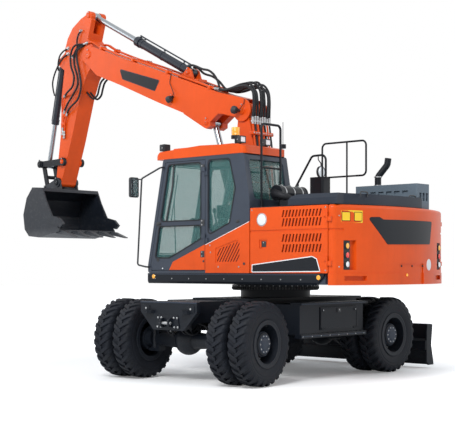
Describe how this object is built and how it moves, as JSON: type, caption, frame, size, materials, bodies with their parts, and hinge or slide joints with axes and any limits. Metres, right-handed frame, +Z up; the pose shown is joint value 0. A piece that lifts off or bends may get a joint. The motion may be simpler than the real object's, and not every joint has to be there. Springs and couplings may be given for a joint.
{
  "type": "wheeled excavator",
  "caption": "Wheeled excavator on twin tyres with a revolving cab and engine house, a two-piece boom, arm, toothed bucket and a rear dozer blade.",
  "frame": {"origin": "on the ground under the middle of the machine's bounding box at rest", "axes": "+X forward along the boom, which is swung a quarter turn from the undercarriage; +Y to the cab's side, which is also the undercarriage's own front with the steered axle; +Z up"},
  "size_m": [7.2043, 4.4479, 5.587],
  "materials": {
    "orange_paint": "gloss orange paint",
    "dark_paint": "satin charcoal paint",
    "chassis_paint": "satin near-black paint",
    "hood_paint": "satin grey paint",
    "tyre": "moulded rubber",
    "rim_paint": "satin dark grey paint",
    "chrome_rod": "polished chrome",
    "black_cylinder": "satin black paint",
    "bucket_steel": "worn black paint",
    "glass": "tinted clear",
    "seat_fabric": "woven",
    "moulded_trim": "fine grain",
    "rail_paint": "gloss black paint",
    "engine_iron": "painted casting",
    "lamp_amber": "clear moulded"
  },
  "bodies": {
    "chassis": {"chassis_frame": "chassis_paint", "side_boxes": "chassis_paint", "front_axle": "chassis_paint", "rear_axle": "chassis_paint", "drive_line": "chassis_paint"},
    "knuckle_left": {"knuckle_left": "chassis_paint"},
    "knuckle_right": {"knuckle_right": "chassis_paint"},
    "steering_rod": {"steering_rod": "chrome_rod"},
    "wheel_front_left": {"tyres_front_left": "tyre", "rim_front_left": "rim_paint"},
    "wheel_front_right": {"tyres_front_right": "tyre", "rim_front_right": "rim_paint"},
    "wheel_rear_left": {"tyres_rear_left": "tyre", "rim_rear_left": "rim_paint"},
    "wheel_rear_right": {"tyres_rear_right": "tyre", "rim_rear_right": "rim_paint"},
    "blade": {"blade": "chassis_paint"},
    "blade_barrels": {"blade_barrels": "black_cylinder"},
    "blade_rods": {"blade_rods": "chrome_rod"},
    "upper": {"slew_ring": "chassis_paint", "upper_frame": "dark_paint", "deck_skirts": "dark_paint", "counterweight": "orange_paint", "tail_panel": "dark_paint", "engine_block": "engine_iron", "cab_frame": "dark_paint", "cab_glass": "glass", "cab_roof": "orange_paint", "left_panel": "orange_paint", "seat_frame": "moulded_trim", "seat_cushion": "seat_fabric", "seat_back": "seat_fabric", "right_tanks": "orange_paint", "hood_box": "hood_paint", "exhaust_pipe": "black_cylinder", "deck_gear": "moulded_trim", "handrails": "rail_paint", "mirrors": "moulded_trim", "lamps": "lamp_amber"},
    "engine_hood": {"engine_hood": "hood_paint"},
    "cab_door": {"door_frame": "dark_paint", "door_panel": "orange_paint", "door_glass": "glass"},
    "left_service_door": {"left_service_door": "orange_paint"},
    "right_service_door": {"right_service_door": "orange_paint"},
    "lower_boom": {"lower_boom": "orange_paint"},
    "lift_barrels": {"lift_barrel": "black_cylinder"},
    "lift_rods": {"lift_rod": "chrome_rod"},
    "upper_boom": {"upper_boom": "orange_paint"},
    "adjust_barrel": {"adjust_barrel": "black_cylinder"},
    "adjust_rod": {"adjust_rod": "chrome_rod"},
    "arm": {"arm": "orange_paint"},
    "arm_barrel": {"arm_barrel": "black_cylinder"},
    "arm_rod": {"arm_rod": "chrome_rod"},
    "bucket_barrel": {"bucket_barrel": "black_cylinder"},
    "bucket_rod": {"bucket_rod": "chrome_rod"},
    "bucket_lever": {"bucket_lever": "black_cylinder"},
    "bucket_link": {"bucket_link": "black_cylinder"},
    "bucket": {"bucket": "bucket_steel"}
  },
  "joints": [
    {"name": "swing", "type": "hinge", "parent": "chassis", "child": "upper", "pos_m": [-1.405, -0.109, 1.15], "axis": [0, 0, 1], "continuous": true},
    {"name": "boom_lift", "type": "hinge", "parent": "upper", "child": "lower_boom", "pos_m": [-1.045, -0.109, 1.8], "axis": [0, -1, 0], "range_deg": [-58, 6]},
    {"name": "lift_barrel_turn", "type": "hinge", "parent": "upper", "child": "lift_barrels", "pos_m": [-0.455, -0.109, 1.4], "axis": [0, -1, 0], "range_deg": [-44.35, 5.48]},
    {"name": "lift_rod_slide", "type": "slide", "parent": "lift_barrels", "child": "lift_rods", "axis": [-0.2454, 0, 0.9694], "range_m": [-0.60771, 0.07183]},
    {"name": "boom_adjust", "type": "hinge", "parent": "lower_boom", "child": "upper_boom", "pos_m": [-0.945, -0.109, 3.69], "axis": [0, -1, 0], "range_deg": [-16, 54]},
    {"name": "adjust_barrel_turn", "type": "hinge", "parent": "lower_boom", "child": "adjust_barrel", "pos_m": [-0.665, -0.109, 2.35], "axis": [0, -1, 0], "range_deg": [-4.02, 11.2]},
    {"name": "adjust_rod_slide", "type": "slide", "parent": "adjust_barrel", "child": "adjust_rod", "axis": [0.3174, 0, 0.9483], "range_m": [-0.18314, 0.59436]},
    {"name": "arm_swing", "type": "hinge", "parent": "upper_boom", "child": "arm", "pos_m": [2.345, -0.109, 4.88], "axis": [0, 1, 0], "range_deg": [-50, 52]},
    {"name": "arm_barrel_turn", "type": "hinge", "parent": "upper_boom", "child": "arm_barrel", "pos_m": [0.215, -0.109, 4.37], "axis": [0, -1, 0], "range_deg": [-7.14, 6.91]},
    {"name": "arm_rod_slide", "type": "slide", "parent": "arm_barrel", "child": "arm_rod", "axis": [0.8826, 0, 0.4701], "range_m": [-0.45853, 0.47647]},
    {"name": "bucket_curl", "type": "hinge", "parent": "arm", "child": "bucket", "pos_m": [3.115, -0.109, 2.87], "axis": [0, -1, 0], "range_deg": [-65, 90]},
    {"name": "lever_turn", "type": "hinge", "parent": "arm", "child": "bucket_lever", "pos_m": [2.965, -0.109, 3.2], "axis": [0, -1, 0], "range_deg": [-37.49, 51.52]},
    {"name": "link_turn", "type": "hinge", "parent": "bucket_lever", "child": "bucket_link", "pos_m": [3.545, -0.109, 3.19], "axis": [0, -1, 0], "range_deg": [-38.8, 28.3]},
    {"name": "bucket_barrel_turn", "type": "hinge", "parent": "arm", "child": "bucket_barrel", "pos_m": [3.165, -0.109, 4.86], "axis": [0, -1, 0], "range_deg": [-1.25, 1.34]},
    {"name": "bucket_rod_slide", "type": "slide", "parent": "bucket_barrel", "child": "bucket_rod", "axis": [0.2219, 0, -0.9751], "range_m": [-0.49719, 0.36186]},
    {"name": "blade_lift", "type": "hinge", "parent": "chassis", "child": "blade", "pos_m": [-1.405, -1.529, 0.56], "axis": [-1, 0, 0], "range_deg": [-6, 28]},
    {"name": "blade_barrel_turn", "type": "hinge", "parent": "chassis", "child": "blade_barrels", "pos_m": [-1.405, -1.699, 0.905], "axis": [-1, 0, 0], "range_deg": [-4.83, 18.88]},
    {"name": "blade_rod_slide", "type": "slide", "parent": "blade_barrels", "child": "blade_rods", "axis": [0, -0.4715, -0.8819], "range_m": [-0.17379, 0.0451]},
    {"name": "steer_left", "type": "hinge", "parent": "chassis", "child": "knuckle_left", "pos_m": [-2.023, 1.631, 0.525], "axis": [0, 0, 1], "range_deg": [-34.6, 21.4]},
    {"name": "steer_right", "type": "hinge", "parent": "chassis", "child": "knuckle_right", "pos_m": [-0.787, 1.631, 0.525], "axis": [0, 0, 1], "range_deg": [-35.6, 22.4]},
    {"name": "steer_rod_slide", "type": "slide", "parent": "chassis", "child": "steering_rod", "axis": [1, 0, 0], "range_m": [-0.1187, 0.07723]},
    {"name": "wheel_front_left_spin", "type": "hinge", "parent": "knuckle_left", "child": "wheel_front_left", "pos_m": [-2.023, 1.631, 0.525], "axis": [0.9934, 0.1149, 0], "continuous": true},
    {"name": "wheel_rear_left_spin", "type": "hinge", "parent": "chassis", "child": "wheel_rear_left", "pos_m": [-1.405, -1.179, 0.525], "axis": [1, 0, 0], "continuous": true},
    {"name": "wheel_front_right_spin", "type": "hinge", "parent": "knuckle_right", "child": "wheel_front_right", "pos_m": [-0.787, 1.631, 0.525], "axis": [0.9934, 0.1149, 0], "continuous": true},
    {"name": "wheel_rear_right_spin", "type": "hinge", "parent": "chassis", "child": "wheel_rear_right", "pos_m": [-1.405, -1.179, 0.525], "axis": [1, 0, 0], "continuous": true},
    {"name": "cab_door_swing", "type": "hinge", "parent": "upper", "child": "cab_door", "pos_m": [-1.227, 1.153, 1.85], "axis": [0, 0, 1], "range_deg": [0, 95]},
    {"name": "left_service_door_swing", "type": "hinge", "parent": "upper", "child": "left_service_door", "pos_m": [-3.256, 1.151, 1.54], "axis": [0, 0, 1], "range_deg": [0, 85]},
    {"name": "right_service_door_swing", "type": "hinge", "parent": "upper", "child": "right_service_door", "pos_m": [-3.256, -1.369, 1.54], "axis": [0, 0, -1], "range_deg": [0, 85]},
    {"name": "engine_hood_swing", "type": "hinge", "parent": "upper", "child": "engine_hood", "pos_m": [-2.57, -0.109, 2.246], "axis": [0, 1, 0], "range_deg": [0, 60]}
  ],
  "couplings": [
    {"joint": "lift_barrel_turn", "follows": "boom_lift", "ratio": 0.74738},
    {"joint": "lift_rod_slide", "follows": "boom_lift", "m_per_rad": 0.59046},
    {"joint": "adjust_barrel_turn", "follows": "boom_adjust", "ratio": 0.18881},
    {"joint": "adjust_rod_slide", "follows": "boom_adjust", "m_per_rad": 0.62002},
    {"joint": "arm_barrel_turn", "follows": "arm_swing", "ratio": -0.11811},
    {"joint": "arm_rod_slide", "follows": "arm_swing", "m_per_rad": 0.51398},
    {"joint": "lever_turn", "follows": "bucket_curl", "ratio": 0.56131},
    {"joint": "link_turn", "follows": "bucket_curl", "ratio": -0.42},
    {"joint": "bucket_barrel_turn", "follows": "bucket_curl", "ratio": 0.00381},
    {"joint": "bucket_rod_slide", "follows": "bucket_curl", "m_per_rad": -0.31016},
    {"joint": "blade_barrel_turn", "follows": "blade_lift", "ratio": 0.6385},
    {"joint": "blade_rod_slide", "follows": "blade_lift", "m_per_rad": -0.33517},
    {"joint": "steer_right", "follows": "steer_left", "ratio": 1},
    {"joint": "steer_rod_slide", "follows": "steer_left", "m_per_rad": 0.18}
  ]
}
